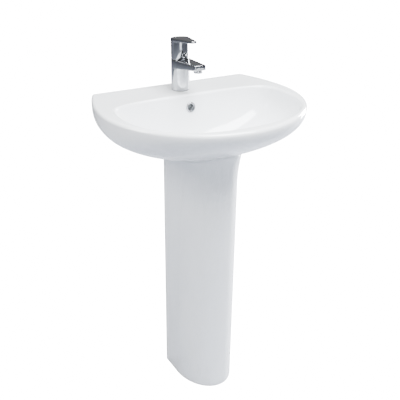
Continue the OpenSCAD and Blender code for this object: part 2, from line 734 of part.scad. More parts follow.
// Handle
seam = 1;
handle_z = column_h + seam;
handle_top = column_h + handle_h;
core_z = column_h + 9;                        // underside of the handle's solid core
relief_angle = lift_angle + 2;
lever_root_t = 12;
grub_z = column_h + 12.5;
grub_r = 2.45;
grub_l = 9;
cap_r = 7;
cap_d = 2.6;                      // depth of its recess
module handle_blank() {
  w0 = column_r - 2;
  w1 = lever_tip_w / 2;
  tip_z = handle_top + lever_rise;
  difference() {
    translate([0, 0, handle_z]) cylinder(r = column_r, h = tip_z - handle_z);
    translate([0, 0, handle_top]) rotate([-atan(lever_rise / lever_reach), 0, 0])
      translate([-lever_reach, -lever_reach, 0]) cube(2 * lever_reach);
  }
  intersection() {
    translate([-w0, 0, 0]) rotate([90, 0, 90]) linear_extrude(2 * w0)
      polygon([[0, handle_top], [0, handle_top - lever_root_t], [-column_r, handle_top - lever_root_t],
        [-lever_reach, tip_z - lever_tip_t], [-lever_reach, tip_z]]);
    linear_extrude(tip_z)
      polygon([[-w0, 0], [w0, 0], [w0, -column_r / 2.4], [w1, -lever_reach], [-w1, -lever_reach],
        [-w0, -column_r / 2.4]]);
  }
}
module lever_handle() {
  color(chrome) at_tap() difference() {
    handle_blank();
    translate([0, 0, handle_z - 1]) cylinder(r = nut_r + 0.2, h = core_z - handle_z + 1);
    translate([0, 0, handle_z]) rotate([relief_angle, 0, 0])
      translate([-2 * column_r, 0, -2 * column_r]) cube([4 * column_r, 3 * column_r, 2 * column_r]);
    translate([-stem_w / 2 - seat_gap, -stem_w / 2 - seat_gap, core_z - 1])
      cube([stem_w + 2 * seat_gap, stem_w + 2 * seat_gap, stem_top - core_z + 2]);
    translate([0, 0, grub_z]) rotate([90, 0, 0]) cylinder(r = grub_r + shaft_gap, h = column_r + 1);
    translate([0, cap_d - column_r, grub_z]) rotate([90, 0, 0])
      cylinder(r = cap_r + seat_gap, h = cap_d + 1);
  }
}
module grub_screw() {
  key_r = 1.45;
  key_d = 3;
  color(steel) at_tap(grub_z) translate([0, -stem_w / 2, 0]) rotate([90, 0, 0]) difference() {
    cylinder(r = grub_r, h = grub_l);
    translate([0, 0, grub_l - key_d]) cylinder(r = key_r, h = key_d + 1, $fn = 6);
  }
}
module index_cap() {
  color(chrome) at_tap(grub_z) translate([0, -column_r + cap_d - seat_gap, 0]) rotate([90, 0, 0])
    rotate_extrude() polygon([[0, 0], [cap_r, 0], [cap_r, cap_d - 0.4], [cap_r - 0.8, cap_d + 0.3],
      [cap_r / 2, cap_d + 0.7], [0, cap_d + 0.8]]);
}

// ---------- Waste ----------
flange_seal_t = 1.5;
flange_z = floor_z - recess_d + flange_seal_t;
flange_t = 2.6;
flange_edge = 1.4;
throat_r = tail_r - tail_t;
dish_top_r = flange_r - 5.5;
dish_d = 5.6;
cone_h = 2;                     // height of the cone under the flange
tail_end = boss_z - tail_l;
module waste_flange_seal() {
  color(rubber) at_waste(floor_z - recess_d)
    tube(flange_r - seal_inset, waste_hole_r + seal_inset, flange_seal_t);
}
slot_z = duct_floor + 1;        // the overflow water comes in through four slots
slot_w = 10;
module waste_body() {
  color(chrome) at_waste() difference() {
    rotate_extrude() polygon([[throat_r, tail_end], [tail_r, tail_end], [tail_r, flange_z - cone_h],
      [tail_r + cone_h, flange_z], [flange_r, flange_z], [flange_r, flange_z + 1],
      [flange_r - flange_edge, flange_z + flange_t], [dish_top_r, flange_z + flange_t],
      [throat_r, flange_z + flange_t - dish_d]]);
    for (a = [45, 135]) rotate(a) translate([-tail_r - 1, -slot_w / 2, slot_z])
      cube([2 * tail_r + 2, slot_w, duct_run_t - 2]);
  }
}
backnut_seal_t = 5;
backnut_t = 9;
backnut_w = 9;                  // width of the nut outside the tail
backnut_lip = 1.5;
module waste_backnut_seal() {
  color(rubber) at_waste(boss_z - backnut_seal_t)
    tube(tail_r + backnut_w + 2, tail_r + insert_gap, backnut_seal_t);
}
module waste_backnut() {
  color(brass) at_waste(boss_z - backnut_seal_t - backnut_t) difference() {
    union() {
      translate([0, 0, backnut_t - 2]) cylinder(r = tail_r + backnut_w + backnut_lip, h = 2);
      cylinder(r = tail_r + backnut_w, h = backnut_t, $fn = 8);
    }
    translate([0, 0, -1]) cylinder(r = tail_r + shaft_gap, h = backnut_t + 2);
  }
}

// Click-clack latch: heights down from the flange
plug_z = flange_z + 1.5;
barrel_r = 8;
barrel_t = 2;
barrel_l = 26;
barrel_drop = 14;               // from the plug down to the barrel's top
barrel_z = plug_z - barrel_drop - barrel_l;
spoke_w = 3;
spoke_h = 8;
spoke_drop = 2;
module latch_barrel() {
  color(plastic) at_waste(barrel_z) difference() {
    union() {
      cylinder(r = barrel_r, h = barrel_l);
      for (k = [0:2]) rotate(90 + 120 * k) translate([0, -spoke_w / 2, barrel_l - spoke_h - spoke_drop])
        cube([throat_r - seat_gap, spoke_w, spoke_h]);
    }
    translate([0, 0, barrel_t]) cylinder(r = barrel_r - barrel_t, h = barrel_l);
  }
}
plug_stem_r = 3;
cap_h = 3;
cap_sink = 2;                   // how far the latch cap sits in the barrel
module latch_cap() {
  color(plastic) at_waste(barrel_z + barrel_l) difference() {
    union() {
      cylinder(r = barrel_r, h = cap_h - 1);
      translate([0, 0, -cap_sink]) cylinder(r = barrel_r - barrel_t - seat_gap, h = cap_h);
    }
    translate([0, 0, -cap_sink - 1]) cylinder(r = plug_stem_r + shaft_gap, h = 2 * cap_h + 1);
  }
}
plug_r = flange_r - 6.5;
plug_t = 3.4;
plug_boss_r = throat_r - 4;     // boss under the plug that holds its seal
plug_boss_h = 2.2;
module plug_cap() {
  color(chrome) at_waste(plug_z) rotate_extrude() polygon([[0, 0], [plug_r - 1, 0], [plug_r, 1],
    [plug_r, plug_t - 1.6], [plug_r - 1.2, plug_t - 0.6], [plug_r / 2, plug_t - 0.1], [0, plug_t]]);
}
module plug_seal() {
  color(rubber) at_waste(plug_z - plug_boss_h) rotate_extrude() polygon([[plug_boss_r, 0],
    [throat_r + 1.6, 0], [plug_r - 2.6, plug_boss_h], [plug_boss_r, plug_boss_h]]);
}
heel_r = barrel_r - barrel_t - run_gap;
heel_t = 2;
heel_z = barrel_z + barrel_l - cap_sink - 1 - plug_lift - heel_t;
module plug_stem() {
  color(steel) at_waste() union() {
    translate([0, 0, heel_z]) cylinder(r = plug_stem_r, h = plug_z - heel_z);
    translate([0, 0, heel_z]) cylinder(r = heel_r, h = heel_t);
    translate([0, 0, plug_z - plug_boss_h]) cylinder(r = plug_boss_r - seat_gap, h = plug_boss_h);
  }
}
// Spring in the barrel, under the stem's heel
spring_turns = 5;
wire_r = 0.6;
spring_r = barrel_r - barrel_t - 2 * wire_r - washer_slip;
spring_sides = 6;
spring_steps = 14;
spring_z0 = barrel_z + barrel_t + wire_r + seat_gap;
spring_z1 = heel_z - wire_r - seat_gap;
function coil(t) = [spring_r * cos(t * 360), spring_r * sin(t * 360),
  mix(spring_z0, spring_z1, t / spring_turns)];
function coil_ring(t) = let (a = t * 360) [for (k = [0:spring_sides - 1]) let (b = 360 * k / spring_sides)
  coil(t) + wire_r * [cos(b) * cos(a), cos(b) * sin(a), sin(b)]];
module plug_spring() {
  count = spring_turns * spring_steps;
  color(steel) at_waste() loft([for (k = [count:-1:0]) coil_ring(k / spring_steps)]);
}

// ---------- Trap ----------
socket_gap = 0.4;
neck_t = 2.8;
neck_in = tail_r + socket_gap;
neck_out = neck_in + neck_t;
tail_in_trap = 14;              // length of the waste's tail inside the trap's neck
neck_top = tail_end + tail_in_trap;
neck_h = 26;
crown_z = neck_top - neck_h;
bottle_t = 3;
bottle_low = crown_z - bottle_h / 2;
washer_h = 4;
washer_edge = 1.2;              // height of a washer's outer edge
nut_wall = 3.4;
nut_lip = 2.4;                  // thickness of a union nut's lip
rib_w = 3;
rib_l = 2.6;
inlet_nut_h = 20;
module trap_inlet_washer() {
  color(rubber) at_waste(neck_top) cone_washer(tail_r, neck_out - seal_inset);
}
// Rubber washer with a cone on top, round a pipe
module cone_washer(pipe_r, outer) {
  rotate_extrude() polygon([[pipe_r + shaft_gap, 0], [outer, 0], [outer, washer_edge],
    [pipe_r + washer_edge, washer_h], [pipe_r + shaft_gap, washer_h]]);
}
// Union nut with ribs for the hand
module union_nut(thread_r, lip_r_in, height) {
  ribs = 12;
  difference() {
    union() {
      cylinder(r = thread_r + nut_wall, h = height);
      for (k = [0:ribs - 1]) rotate(k * 360 / ribs) translate([thread_r + nut_wall - 1, -rib_w / 2, 0])
        cube([rib_l, rib_w, height - nut_lip]);
    }
    translate([0, 0, -1]) cylinder(r = thread_r, h = height + 1 - nut_lip);
    translate([0, 0, -1]) cylinder(r = lip_r_in, h = height + 2);
  }
}
module trap_inlet_nut() {
  color(plastic) at_waste(neck_top + washer_h + nut_lip + washer_slip - inlet_nut_h)
    union_nut(neck_out + insert_gap, tail_r + socket_gap, inlet_nut_h);
}
dip_r = 14;
dip_t = 2;
dip_flange_h = 6;
outlet_drop = 24;               // from the bottle's top down to the outlet's axis
outlet_z = crown_z - outlet_drop;
outlet_wall = 2.8;
outlet_socket_l = 26;
module along_outlet(y) {
  translate([0, waste_y + y, outlet_z]) rotate([-90, 0, 0]) children();
}
module trap_body() {
  seat = crown_z - 2;
  color(plastic) difference() {
    union() {
      at_waste(crown_z - 1) cylinder(r = neck_out, h = neck_h + 1);
      at_waste(bottle_low) cylinder(r = bottle_r, h = crown_z - bottle_low);
      along_outlet(0) cylinder(r = outlet_r + outlet_wall, h = outlet_l);
    }
    at_waste(crown_z + dip_flange_h) cylinder(r = neck_in, h = neck_h);
    at_waste(seat) cylinder(r = dip_r + dip_t + seat_gap, h = neck_h);
    at_waste(bottle_low - 1) cylinder(r = bottle_r - bottle_t, h = crown_z - bottle_low - bottle_t + 1);
    at_waste(bottle_low) cylinder(r = dip_r - 1, h = bottle_h);
    along_outlet(outlet_l - outlet_socket_l) cylinder(r = outlet_r, h = outlet_socket_l + 1);
    along_outlet(dip_r + dip_t + 4) cylinder(r = outlet_r - 2, h = outlet_l);
  }
}
dip_l = 78;
module trap_dip_tube() {
  color(plastic) at_waste(crown_z - 2 + seat_gap - dip_l) difference() {
    union() {
      cylinder(r = dip_r - 1 - seat_gap, h = dip_l);
      translate([0, 0, dip_l]) cylinder(r = dip_r + dip_t, h = dip_flange_h);
    }
    translate([0, 0, -1]) cylinder(r = dip_r - 1 - dip_t, h = dip_l + 10);
  }
}
cup_top = bottle_low;
cup_seal_t = 2;
cup_z = crown_z - bottle_h;
cup_collar_r = bottle_r + 3.4;
cup_collar_h = 12;
grip_l = 2.4;
module trap_cup_seal() {
  color(rubber) at_waste(cup_top - cup_seal_t) tube(bottle_r - washer_slip, bottle_r - bottle_t, cup_seal_t);
}
module trap_cup() {
  grips = 16;
  rim_top = cup_top - cup_seal_t;
  color(plastic) at_waste() difference() {
    union() {
      translate([0, 0, cup_z]) rotate_extrude() polygon([[0, 0], [bottle_r - 8, 0], [bottle_r - 3, 2],
        [bottle_r, 8], [bottle_r, rim_top - cup_z], [0, rim_top - cup_z]]);
      translate([0, 0, rim_top - cup_collar_h / 2]) cylinder(r = cup_collar_r, h = cup_collar_h);
      for (k = [0:grips - 1]) rotate(k * 360 / grips)
        translate([cup_collar_r - 1, -rib_w / 2, rim_top - cup_collar_h / 2])
        cube([grip_l, rib_w, cup_collar_h - 1]);
    }
    translate([0, 0, cup_z + bottle_t]) cylinder(r = bottle_r - bottle_t, h = bottle_h);
    translate([0, 0, rim_top]) cylinder(r = bottle_r + insert_gap, h = bottle_h);
  }
}
outlet_nut_h = 18;
module trap_outlet_washer() {
  color(rubber) along_outlet(outlet_l)
    cone_washer(outlet_r + washer_slip, outlet_r + outlet_wall - washer_slip);
}
module trap_outlet_nut() {
  color(plastic) along_outlet(outlet_l + washer_h + nut_lip + washer_slip - outlet_nut_h)
    union_nut(outlet_r + outlet_wall + insert_gap, outlet_r + run_gap, outlet_nut_h);
}

basin();
pedestal();
pedestal_bead();
overflow_ring();
tap_base_seal();
tap_body();
hot_tail();
cold_tail();
mounting_stud();
horseshoe_seal();
horseshoe_washer();
stud_nut();
aerator_seal();
aerator_insert();
aerator_housing();
cartridge_seals();
cartridge_base();
fixed_disc();
cartridge_housing();
cartridge_nut();
cartridge_cover();
moving_disc();
disc_carrier();
cartridge_turret();
stem_pin();
lever_stem();
lever_handle();
grub_screw();
index_cap();
waste_flange_seal();
waste_body();
waste_backnut_seal();
waste_backnut();
latch_barrel();
latch_cap();
plug_spring();
plug_stem();
plug_cap();
plug_seal();
trap_inlet_washer();
trap_inlet_nut();
trap_body();
trap_dip_tube();
trap_cup_seal();
trap_cup();
trap_outlet_washer();
trap_outlet_nut();
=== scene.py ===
"""Looks of a pedestal wash basin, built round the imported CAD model. Shapes are in millimetres."""
import json
from math import atan2, cos, pi, radians, sin, sqrt

import bmesh
import bpy
from mathutils import Matrix, Vector


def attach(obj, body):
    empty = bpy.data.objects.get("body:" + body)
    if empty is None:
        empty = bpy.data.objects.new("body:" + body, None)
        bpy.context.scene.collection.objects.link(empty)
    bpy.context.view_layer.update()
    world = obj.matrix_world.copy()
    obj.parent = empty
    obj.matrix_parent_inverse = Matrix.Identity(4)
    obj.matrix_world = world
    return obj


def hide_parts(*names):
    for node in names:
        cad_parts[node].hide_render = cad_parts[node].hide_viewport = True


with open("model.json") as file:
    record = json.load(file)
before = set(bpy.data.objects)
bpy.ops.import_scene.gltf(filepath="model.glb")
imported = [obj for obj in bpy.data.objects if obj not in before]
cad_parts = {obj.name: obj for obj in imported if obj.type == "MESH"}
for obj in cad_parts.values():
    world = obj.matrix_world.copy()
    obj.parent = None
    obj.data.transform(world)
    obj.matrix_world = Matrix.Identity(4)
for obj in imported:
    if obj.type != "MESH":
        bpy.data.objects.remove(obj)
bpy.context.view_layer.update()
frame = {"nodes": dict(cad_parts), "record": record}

MM = 0.001
SHARP = radians(32)


# ---------------------------------------------------------------- camera
def add_camera():
    data = bpy.data.cameras.new("camera")
    cam = bpy.data.objects.new("camera", data)
    bpy.context.scene.collection.objects.link(cam)
    cam.location = (-0.8800, -1.6119, 1.4060)
    aim = Vector((0.0, 0.0336, 0.4476)) - cam.location
    cam.rotation_euler = aim.to_track_quat("-Z", "Y").to_euler()
    data.sensor_width = 36.0
    data.lens = 66.5
    data.shift_x = -0.0077
    data.shift_y = 0.0986
    data.dof.use_dof = False
    data.clip_end = 50.0
    bpy.context.scene.camera = cam


add_camera()


# ---------------------------------------------------------------- node helpers
def new_material(name):
    mat = bpy.data.materials.new(name)
    mat.use_nodes = True
    tree = mat.node_tree
    tree.nodes.clear()
    out = tree.nodes.new("ShaderNodeOutputMaterial")
    shader = tree.nodes.new("ShaderNodeBsdfPrincipled")
    tree.links.new(shader.outputs["BSDF"], out.inputs["Surface"])
    coords = tree.nodes.new("ShaderNodeTexCoord").outputs["Object"]
    return mat, tree, shader, coords


def noise(tree, coords, scale, detail=3.0, stretch=None):
    if stretch:
        mapping = tree.nodes.new("ShaderNodeMapping")
        mapping.inputs["Scale"].default_value = stretch
        tree.links.new(coords, mapping.inputs["Vector"])
        coords = mapping.outputs["Vector"]
    node = tree.nodes.new("ShaderNodeTexNoise")
    node.inputs["Scale"].default_value = scale
    node.inputs["Detail"].default_value = detail
    tree.links.new(coords, node.inputs["Vector"])
    return node.outputs["Fac"]


def ramp(tree, fac, low, high, low_pos=0.35, high_pos=0.65):
    node = tree.nodes.new("ShaderNodeValToRGB")
    node.color_ramp.elements[0].position = low_pos
    node.color_ramp.elements[1].position = high_pos
    node.color_ramp.elements[0].color = (*low, 1)
    node.color_ramp.elements[1].color = (*high, 1)
    tree.links.new(fac, node.inputs["Fac"])
    return node.outputs["Color"]


def spread(tree, fac, low, high):
    node = tree.nodes.new("ShaderNodeMapRange")
    node.inputs["From Min"].default_value = 0.3
    node.inputs["From Max"].default_value = 0.7
    node.inputs["To Min"].default_value = low
    node.inputs["To Max"].default_value = high
    tree.links.new(fac, node.inputs["Value"])
    return node.outputs["Result"]


def bump(tree, shader, height, strength, distance):
    node = tree.nodes.new("ShaderNodeBump")
    node.inputs["Strength"].default_value = strength
    node.inputs["Distance"].default_value = distance
    tree.links.new(height, node.inputs["Height"])
    tree.links.new(node.outputs["Normal"], shader.inputs["Normal"])
    return node.outputs["Normal"]


def surface(name, low, high, metallic, rough, scale, bump_scale, bump_strength, bump_depth, stretch=None,
            coat=0.0, coat_rough=0.03, ior=1.5):
    """A material whose colour, roughness and relief vary in fine noise."""
    mat, tree, shader, coords = new_material(name)
    shader.inputs["Metallic"].default_value = metallic
    shader.inputs["IOR"].default_value = ior
    shader.inputs["Coat Weight"].default_value = coat
    shader.inputs["Coat Roughness"].default_value = coat_rough
    broad = noise(tree, coords, scale, 4.0)
    fine = noise(tree, coords, bump_scale, 3.0, stretch)
    tree.links.new(ramp(tree, broad, low, high), shader.inputs["Base Color"])
    tree.links.new(spread(tree, fine, rough[0], rough[1]), shader.inputs["Roughness"])
    bump(tree, shader, fine, bump_strength, bump_depth)
    return mat


MATS = {
    "china": surface("glaze", (0.83, 0.85, 0.875), (0.87, 0.885, 0.90), 0.0, (0.10, 0.16), 4.0,
                     90.0, 0.03, 0.0004, coat=0.6),
    "chrome": surface("chrome_plate", (0.38, 0.39, 0.41), (0.44, 0.45, 0.47), 1.0, (0.045, 0.085), 9.0,
                      140.0, 0.02, 0.0002),
    "steel": surface("stainless", (0.50, 0.51, 0.53), (0.62, 0.62, 0.64), 1.0, (0.22, 0.36), 30.0,
                     260.0, 0.12, 0.0003, stretch=(1, 1, 0.1)),
    "brass": surface("machined_brass", (0.62, 0.45, 0.17), (0.76, 0.58, 0.26), 1.0, (0.2, 0.34), 40.0,
                     400.0, 0.15, 0.0003, stretch=(1, 1, 6)),
    "rubber": surface("seal_rubber", (0.016, 0.016, 0.018), (0.03, 0.03, 0.033), 0.0, (0.5, 0.68), 60.0,
                      900.0, 0.25, 0.0003),
    "silicone": surface("white_silicone", (0.70, 0.71, 0.72), (0.78, 0.79, 0.80), 0.0, (0.35, 0.5), 30.0,
                        300.0, 0.12, 0.0004),
    "white_plastic": surface("moulded_white", (0.74, 0.74, 0.71), (0.82, 0.82, 0.79), 0.0, (0.3, 0.42),
                             18.0, 800.0, 0.15, 0.0002),
    "grey_plastic": surface("moulded_grey", (0.13, 0.14, 0.155), (0.18, 0.19, 0.21), 0.0, (0.35, 0.48),
                            24.0, 700.0, 0.15, 0.0002),
    "disc_ceramic": surface("lapped_alumina", (0.70, 0.67, 0.58), (0.78, 0.75, 0.67), 0.0, (0.14, 0.22),
                            50.0, 600.0, 0.05, 0.0001),
}
SLOT = {part["node"]: part["material_slot"] for part in frame["record"]["subparts"]}
for node, obj in frame["nodes"].items():
    obj.data.materials.clear()
    obj.data.materials.append(MATS[SLOT[node]])


# ---------------------------------------------------------------- mesh helpers
def build(name, verts, faces, sharp=SHARP):
    """A mesh object from points in millimetres."""
    mesh = bpy.data.meshes.new(name)
    mesh.from_pydata([(x * MM, y * MM, z * MM) for x, y, z in verts], [], faces)
    bm = bmesh.new()
    bm.from_mesh(mesh)
    bmesh.ops.remove_doubles(bm, verts=bm.verts, dist=1e-7)
    bmesh.ops.recalc_face_normals(bm, faces=bm.faces)
    bm.to_mesh(mesh)
    bm.free()
    obj = bpy.data.objects.new(name, mesh)
    bpy.context.scene.collection.objects.link(obj)
    smooth(obj, sharp)
    return obj


def smooth(obj, sharp=SHARP):
    obj.data.shade_smooth()
    obj.data.set_sharp_from_angle(angle=sharp)


def loft(name, rings, sharp=SHARP):
    """A closed solid through rings of equal length, with flat ends."""
    n = len(rings[0])
    verts = [p for ring in rings for p in ring]
    faces = [(j * n + i, j * n + (i + 1) % n, (j + 1) * n + (i + 1) % n, (j + 1) * n + i)
             for j in range(len(rings) - 1) for i in range(n)]
    last = (len(rings) - 1) * n
    faces += [tuple(range(n)), tuple(last + i for i in range(n - 1, -1, -1))]
    return build(name, verts, faces, sharp)


def modify(obj, kind, **settings):
    """Adds a modifier and applies it."""
    mod = obj.modifiers.new("m", kind)
    for key, value in settings.items():
        setattr(mod, key, value)
    deps = bpy.context.evaluated_depsgraph_get()
    mesh = bpy.data.meshes.new_from_object(obj.evaluated_get(deps))
    obj.modifiers.clear()
    old = obj.data
    obj.data = mesh
    bpy.data.meshes.remove(old)
    return obj


def bevel(obj, width, segments=3, angle=40):
    modify(obj, "BEVEL", width=width * MM, segments=segments, limit_method="ANGLE",
           angle_limit=radians(angle), use_clamp_overlap=False, miter_outer="MITER_ARC")


def combine(obj, other, operation):
    modify(obj, "BOOLEAN", object=other, operation=operation, solver="EXACT")
    bpy.data.objects.remove(other)
    smooth(obj)


def cut(obj, *tools):
    for tool in tools:
        combine(obj, tool, "DIFFERENCE")


def mix(a, b, t):
    return a + (b - a) * t


def rounded(points, radius, steps=5):
    """An open outline with its inner corners rounded. Radius is one number, or one for each corner."""
    radii = radius if isinstance(radius, (list, tuple)) else [radius] * (len(points) - 2)
    line = [points[0]]
    for k in range(1, len(points) - 1):
        p, q, s = (Vector(points[j]) for j in (k - 1, k, k + 1))
        r = min(radii[k - 1], (p - q).length / 2, (s - q).length / 2)
        if r <= 0:
            line.append(tuple(q))
            continue
        a, b = q + (p - q).normalized() * r, q + (s - q).normalized() * r
        for i in range(steps + 1):
            t = i / steps
            line.append(tuple(a * (1 - t) ** 2 + q * 2 * t * (1 - t) + b * t ** 2))
    line.append(points[-1])
    return line


def lathe(name, profile, place=(0, 0, 0), turn=None, segments=128, sharp=SHARP):
    """Turns a profile of (radius, height) round Z, then places it. A closed profile makes a ring."""
    matrix = Matrix.Translation(place) @ (turn or Matrix.Identity(4))
    rings = [[matrix @ Vector((r * cos(2 * pi * i / segments), r * sin(2 * pi * i / segments), h))
              for i in range(segments)] for r, h in profile]
    verts = [tuple(p) for ring in rings for p in ring]
    count = len(rings)
    closed = profile[0] == profile[-1]
    faces = [(j * segments + i, j * segments + (i + 1) % segments,
              (j + 1) * segments + (i + 1) % segments, (j + 1) * segments + i)
             for j in range(count - 1) for i in range(segments)]
    obj = build(name, verts, [f for f in faces], sharp)
    if not closed:
        bm = bmesh.new()
        bm.from_mesh(obj.data)
        bmesh.ops.dissolve_degenerate(bm, dist=1e-7, edges=bm.edges)
        bmesh.ops.holes_fill(bm, edges=bm.edges, sides=0)
        bmesh.ops.recalc_face_normals(bm, faces=bm.faces)
        bm.to_mesh(obj.data)
        bm.free()
        smooth(obj, sharp)
    return obj


def prism(name, outline, place, along, depth):
    """A straight solid: a flat outline of (u, v) swept along an axis. along is x, y or z."""
    frames = {
        "x": lambda u, v, w: (w, u, v),
        "y": lambda u, v, w: (u, w, v),
        "z": lambda u, v, w: (u, v, w),
    }
    put = frames[along]
    n = len(outline)
    verts = [Vector(put(u, v, w)) + Vector(place) for w in (0, depth) for u, v in outline]
    faces = [(i, (i + 1) % n, n + (i + 1) % n, n + i) for i in range(n)]
    faces += [tuple(range(n)), tuple(range(2 * n - 1, n - 1, -1))]
    return build(name, [tuple(v) for v in verts], faces)


def drum(name, radius, height, place, turn=None, segments=96):
    return lathe(name, [(0, 0), (radius, 0), (radius, height), (0, height)], place, turn, segments)


def piece(obj, body, nodes, slot):
    """Puts an object in the model: its body, the CAD nodes it stands for and its material."""
    obj.data.materials.clear()
    obj.data.materials.append(MATS[slot])
    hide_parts(*nodes)
    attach(obj, body)
    return obj


# ---------------------------------------------------------------- basin
RIM, WALL, FRONT, HALF = 850.0, 230.0, -230.0, 275.0
MID, WASTE_Y = 46.0, 5.0
EDGE, LIP, APRON, BOSS, BOWL = 9.0, 8.0, 120.0, 165.0, 128.0


def unit(t):
    return max(0.0, min(1.0, t))


def belly(h):
    u = max(0.0, h - EDGE) / (196 - EDGE)
    half = mix(41, HALF, (1 - u ** 3.12) ** 3.16)
    front = WALL - mix(66, WALL - FRONT, (1 - u ** 1.78) ** 0.99)
    return [half, front, MID, 375, WALL, 1.85]


BOSS_LEVEL = [60, WASTE_Y - 60, WASTE_Y, 60, WASTE_Y + 60, 2]


def outside(h):
    if h <= APRON:
        return belly(h)
    g = max(0.0, 1 - (h - APRON) / (BOSS - APRON)) ** 3.8
    return [mix(a, b, g) for a, b in zip(BOSS_LEVEL, belly(APRON))]


def back_half(s, y):
    return s[0] * max(0.0, 1 - unit((y - s[2]) / s[3]) ** s[5]) ** (1 / s[5])


def level_half(s, y):
    return back_half(s, y) if y >= s[2] else s[0] * sqrt(max(0.0, 1 - ((s[2] - y) / (s[2] - s[1])) ** 2))


FRONT_STEPS, SIDE_STEPS, WALL_STEPS = 168, 30, 48


def outline(s):
    line = []
    for k in range(FRONT_STEPS + 1):
        t = pi * k / FRONT_STEPS
        line.append((s[0] * cos(t), s[2] - (s[2] - s[1]) * sin(t)))
    ys = [mix(s[2], s[4], k / SIDE_STEPS) for k in range(1, SIDE_STEPS + 1)]
    line += [(-back_half(s, y), y) for y in ys]
    line += [(mix(-1, 1, k / WALL_STEPS) * back_half(s, s[4]), s[4]) for k in range(1, WALL_STEPS)]
    line += [(back_half(s, y), y) for y in reversed(ys)]
    return line


BOWL_MID, BOWL_HALF, BOWL_FRONT, BOWL_BACK = 6.0, 237.0, 204.0, 102.0
SIDE_WALL, FRONT_WALL, BACK_WALL = (2.6, 0.62), (2.2, 0.9), (1.8, 0.5)


def bowl_point(a, h):
    front = sin(a) < 0
    n, l = (2.3, BOWL_FRONT) if front else (4.4, BOWL_BACK)
    r = ((abs(cos(a)) / BOWL_HALF) ** n + (abs(sin(a)) / l) ** n) ** (-1 / n)
    if h < LIP:
        r += LIP - sqrt(LIP ** 2 - (LIP - h) ** 2)
    w = sin(a) ** 2
    full, tuck = (mix(p, q, w) for p, q in zip(SIDE_WALL, FRONT_WALL if front else BACK_WALL))
    f = max(0.0, 1 - (h / BOWL) ** full) ** tuck
    return (mix(40 * cos(a), r * cos(a), f), mix(WASTE_Y + 40 * sin(a), BOWL_MID + r * sin(a), f))


def make_basin():
    line = outline(outside(0))
    dirs = [atan2(y - BOWL_MID, x) for x, y in line]
    depths = [LIP * (1 - cos(pi / 2 * k / 9)) for k in range(10)]
    depths += [mix(LIP, BOWL, sin(pi / 2 * k / 46)) for k in range(1, 47)]
    rings = [[(*bowl_point(a, h), RIM - h) for a in dirs] for h in reversed(depths)]
    lip = rings[-1]
    roll = []
    for k in range(11):
        t = pi / 2 * k / 11
        s = list(outside(EDGE))
        d = EDGE * (1 - sin(t))
        s[0] -= d
        s[1] += d
        roll.append([(x, y, RIM - EDGE * (1 - cos(t))) for x, y in outline(s)])
    for share in (0.03, 0.97):
        rings.append([tuple(mix(a, b, share) for a, b in zip(p, q)) for p, q in zip(lip, roll[0])])
    rings += roll
    hs = [mix(EDGE, APRON, k / 44) for k in range(45)]
    hs += [mix(APRON, BOSS, (k / 26) ** 1.6) for k in range(1, 27)]
    rings += [[(x, y, RIM - h) for x, y in outline(outside(h))] for h in hs]
    obj = loft("basin_glazed", rings, radians(50))
    # Rear cavity, which widens towards the deck
    def room(h):
        return back_half(outside(min(h, APRON)), WALL) - 14
    hs = [mix(14, APRON, k / 12) for k in range(13)] + [179]
    right = [(room(h), RIM - h) for h in hs]
    left = [(-x, z) for x, z in reversed(right)]
    cavity = prism("cavity", right + left, (0, 122, 0), "y", 94)
    bevel(cavity, 7, 4)
    cut(obj, cavity)
    shell = prism("shell", [(WASTE_Y, 685), (138, 685), (138, 840), (114, 840), (114, 712), (WASTE_Y, 712)],
                  (-24, 0, 0), "x", 48)
    combine(obj, shell, "UNION")
    duct = prism("duct", [(120, 827), (130, 827), (130, 695), (WASTE_Y, 695), (WASTE_Y, 707), (120, 707)],
                 (-16, 0, 0), "x", 32)
    cut(obj, duct)
    tilt = Matrix.Rotation(radians(90 - 9.38), 4, "X")
    cut(obj, drum("bore", 10.85, 120, Vector((0, 104.87, 815)) + tilt @ Vector((0, 0, -17.1)), tilt))
    cut(obj, drum("waste", 23, 200, (0, WASTE_Y, 684), segments=128))
    cut(obj, drum("recess", 33, 60, (0, WASTE_Y, 718.5), segments=128))
    cut(obj, drum("tap_hole", 17.5, 60, (0, 158, 822)))
    for side in (-1, 1):
        cut(obj, drum("bolt", 7, 30, (side * 140, 231, 785), Matrix.Rotation(radians(90), 4, "X")))
    return obj


piece(make_basin(), "root", ["basin"], "china")


# ---------------------------------------------------------------- pedestal
PED_BACK, COLLAR_Z = 129.0, 668.0
NOSE_STEPS, FLANK_STEPS = 120, 24


def ped_line(z, t):
    u = z / COLLAR_Z
    a, f = mix(81, 74, u) - t, WALL - mix(296, 326, u) + t
    m = f + 117 - t
    flank = [(a, mix(PED_BACK, m, k / FLANK_STEPS)) for k in range(FLANK_STEPS)]
    turns = [pi * k / NOSE_STEPS for k in range(NOSE_STEPS + 1)]
    nose = [(a * cos(turn), m - (m - f) * sin(turn)) for turn in turns]
    return flank + nose + [(-x, y) for x, y in reversed(flank)]


def flared(p, z, top):
    ahead = unit((PED_BACK - p[1]) / (PED_BACK + 74))
    w = 9 * unit(1 - (top - z) / 80) ** 1.8 * sin(pi / 2 * ahead) ** 1.2
    d = (p[0] / 74, min(0.0, p[1] - PED_BACK) / 117 / 2)
    l = max(sqrt(d[0] ** 2 + d[1] ** 2), 0.01)
    return (p[0] + w * d[0] / l, p[1] + w * d[1] / l)


def under(x, y):
    lo, hi = 0.0, BOSS
    for _ in range(20):
        h = (lo + hi) / 2
        s = outside(h)
        if s[1] < y < s[4] and abs(x) < level_half(s, y):
            lo = h
        else:
            hi = h
    return (lo + hi) / 2


def ped_tops(t):
    tops = []
    for i in range(len(ped_line(0, 0))):
        z = COLLAR_Z
        for _ in range(4):
            z = RIM - under(*flared(ped_line(z, t)[i], z, z)) - 2
        tops.append(z)
    return tops


